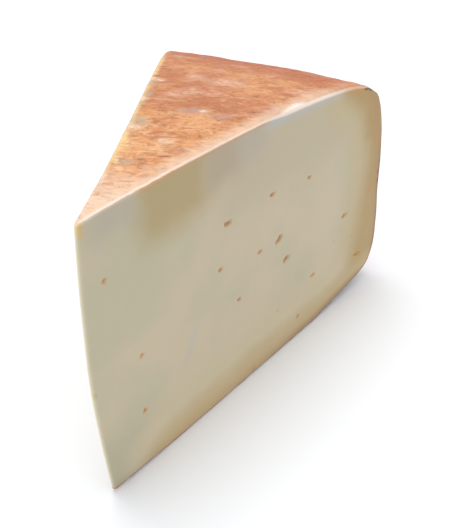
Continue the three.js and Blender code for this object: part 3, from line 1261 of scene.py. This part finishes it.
def rind_group():
    """The washed rind: streaks of orange and brown, pale towards the tip and towards the cuts."""
    tree, given = shader_group(
        "washed rind", {**PLACE_SOCKETS, "Cut distance": "Float"}, SURFACE_SOCKETS
    )
    fade = fades_of(RIND_SPANS)
    spot = given["Place"]
    x, y, z = parts(spot)
    right = given["Right"]
    distance = given["Tip distance"]
    turn, stretch = STREAKS["turn"], STREAKS["stretch"]

    def turned(x, y):
        return x * math.cos(turn) + y * math.sin(turn), y * math.cos(turn) - x * math.sin(turn)

    lengthwise, sideways = turned(x, y)
    near = fade(distance, "near the tip")
    drawn = vector(lengthwise / stretch, sideways, z)
    ragged = shifted(drawn, blend(1.4, 2.6, near), 2.6)

    def streak(pitch, start, end, offset=0, detail=4):
        place = vectors("ADD", ragged, (offset, offset, offset))
        return ease(noise(place, pitch, detail=detail, roughness=0.62), start, end)

    def streaks(kind):
        return streak(*STREAK_KINDS[kind])

    cloud = noise(spot, 20, detail=3)
    colour = painted(RIND["orange"], RIND["bright"], fade(cloud + near * 0.3, "bright"))
    colour = painted(colour, RIND["light"], streaks("pale") * blend(0.3, 0.7, near))
    blotches = fade(noise(vectors("ADD", spot, (0, 90, 0)), 6.5, detail=4), "blotches")
    colour = painted(colour, RIND["brown"], blotches * 0.4)
    colour = painted(colour, RIND["brown"], streaks("brown") * 0.55)
    winding = noise(ragged, 2.8, detail=1) - 0.5
    folds = fade(magnitude(winding), "folds") * fade(noise(spot, 9), "folded parts")
    colour = painted(colour, RIND["brown"], folds * blend(0.25, 0.6, near))
    colour = painted(colour, RIND["deep"], streaks("dark") * 0.5)
    colour = painted(colour, RIND["light"], streaks("fine pale") * 0.45)
    colour = painted(colour, RIND["rose"], streaks("rose") * 0.5)
    far_left = fade(distance, "far") * fade(x, "left half")
    colour = painted(colour, RIND["brown"], far_left * 0.3)
    colour = painted(colour, RIND["brown"], fade(given["Height"], "down the side") * 0.5)
    edge = given["Cut distance"] + wander(ragged, 3, 3, detail=3)
    left_edge = fade(edge, "left edge") * (1 - right) * fade(distance, "left edge along")
    colour = painted(colour, RIND["yellow"], left_edge * 0.85)

    mottle = streaks("mottle")
    rough_x, rough_y, _ = parts(ragged)
    for spot_x, spot_y, length, width, tint, strength in RIND_SPOTS:
        middle_x, middle_y = turned(spot_x, spot_y)
        along = (rough_x * stretch - middle_x) / (length / 2)
        across = (rough_y - middle_y) / (width / 2)
        mask = fade(diagonal(along, across), "spot") * blend(0.45, 1.4, mottle) * strength
        colour = painted(colour, RIND[tint], smaller(mask, 1))

    right_edge = fade(edge, "right edge") * right * fade(distance, "right edge along")
    colour = painted(colour, RIND["cream"], right_edge * 0.62)
    tip = fade(distance, "tip") * (1 - streaks("tip") * 0.6)
    colour = painted(colour, RIND["cream"], tip * 0.9)
    specks = fade(cells(drawn, 6.5), "specks") * fade(noise(spot, 12), "specked parts")
    colour = painted(colour, RIND["speck"], specks * 0.5)
    roll = fade(distance, "roll") * fade(given["Height"], "roll height")
    roll = roll * (1 - fade(edge, "roll at the edge") * right * 0.5)
    colour = painted(colour, RIND["red"], roll * blend(0.75, 0.45, mottle))
    # Painted highlight where the rounded right edge catches the light, over paste where the rind is
    # worn off
    off_length = (distance - WHITE_HIGHLIGHT_AND_WEAR_SPOT["distance"]) / WHITE_HIGHLIGHT_AND_WEAR_SPOT["half length"]
    white = fade(diagonal(off_length, edge / WHITE_HIGHLIGHT_AND_WEAR_SPOT["half width"]), "white")
    colour = painted(colour, RIND["white"], white * right)
    relief = streaks("broad relief") * 0.6 + folds * 0.4 + streaks("fine relief") * 0.3
    outputs = {
        "Colour": colour,
        "Roughness": blend(*RIND_ROUGHNESS, streaks("gloss")),
        "Relief": relief * -1,
    }
    node(tree, "NodeGroupOutput", outputs)
    return tree


def with_mould(colour, where, past_edge):
    """Specks of mould along the edge between the right cut and the side."""
    at_side = ease(where["Tip distance"], *SEAM_SPANS["mould along"]) * where["Right"]
    ragged = wander(where["Place"], 1.3, 1.4, detail=3)
    for height, width, inwards in MOULD_SPECKS:
        off_edge = (past_edge + inwards) * MOULD_LENGTHENING
        gap = diagonal(where["Height"] - height, off_edge) + ragged
        colour = painted(colour, PASTE["mould"], dab(gap, width, MOULD_CORE) * at_side * 0.9)
    return colour


def with_eyes(colour, where, stain, hollow):
    """Orange stains round the eyes, and their own tint, browner in the middle of the cut."""
    fade = fades_of(SEAM_SPANS)
    browner = fade(where["Tip distance"], "brown eyes start")
    browner = browner * fade(where["Tip distance"], "brown eyes end")
    blotched = stain + wander(where["Place"], 0.8, 0.4, detail=3)
    colour = painted(colour, EYE["orange"], fade(blotched, "stain") * 0.35)
    tint = painted(EYE["orange"], EYE["brown"], browner)
    return painted(colour, tint, fade(hollow, "hollow") * 0.85)


def cheese_material():
    material, shader = plain_material("cheese", CHEESE_FINISH)
    tree = material.node_tree
    coordinates = tree.nodes.new("ShaderNodeTexCoord")

    def attribute(name):
        made = node(tree, "ShaderNodeAttribute", attribute_name=name)
        return Field(made.outputs["Fac"])

    fade = fades_of(SEAM_SPANS)
    where = used(tree, slice_place_group(), {"Object": Field(coordinates.outputs["Object"])})
    from_tip, from_cut, from_rind = (
        attribute(name) / MM for name in ("from_tip", "from_cut", "from_rind")
    )
    past_edge = from_cut - from_rind
    distances = {"Rind distance": from_rind, "Tip edge": from_tip, "Past edge": past_edge}
    paste = used(tree, paste_group(patch_group()), {**where, **distances})
    rind = used(tree, rind_group(), {**where, "Cut distance": from_cut})

    on_top = fade(where["Height"], "top")
    at_tip = fade(where["Tip distance"], "tip") * where["Right"]
    start_on_top = blend(RIND_START["top"], RIND_START["tip"], at_tip)
    rind_start = blend(RIND_START["side"], start_on_top, on_top)
    rough_edge = past_edge + wander(where["Place"], 1.6, 0.8, detail=3)
    mask = ease(rough_edge, rind_start, rind_start + RIND_START["width"])
    colour = painted(paste["Colour"], rind["Colour"], mask)
    # Painted highlight along the rounded top edge of the right cut, over paste where the rind is
    # worn off
    line = edge_highlight_and_wear(past_edge, where["Tip distance"]) * on_top * where["Right"]
    colour = painted(colour, PASTE["edge"], line)
    # Painted shade: a dark line on the lower rounded edge of the cuts, standing for the shadow in
    # the gap under it at the floor
    contact = fade(past_edge, "contact") * fade(where["Height"], "contact height")
    contact = contact * blend(0.35, 0.8, fade(where["Tip distance"], "contact along"))
    colour = painted(colour, PASTE["contact"], contact)
    colour = with_mould(colour, where, past_edge)
    colour = with_eyes(colour, where, attribute("stain"), attribute("hollow"))

    relief = blend(paste["Relief"] * PASTE_RELIEF, rind["Relief"], mask)
    bump = node(tree, "ShaderNodeBump", {"Height": relief, **BUMP})
    fill(shader.inputs["Base Color"], colour)
    fill(shader.inputs["Roughness"], blend(paste["Roughness"], rind["Roughness"], mask))
    fill(shader.inputs["Normal"], Field(bump.outputs["Normal"]))
    return material


camera()
floor()
studio()
wedge = cheese_wedge(cheese_material())
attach(wedge, "root")
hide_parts("cheese_wedge")
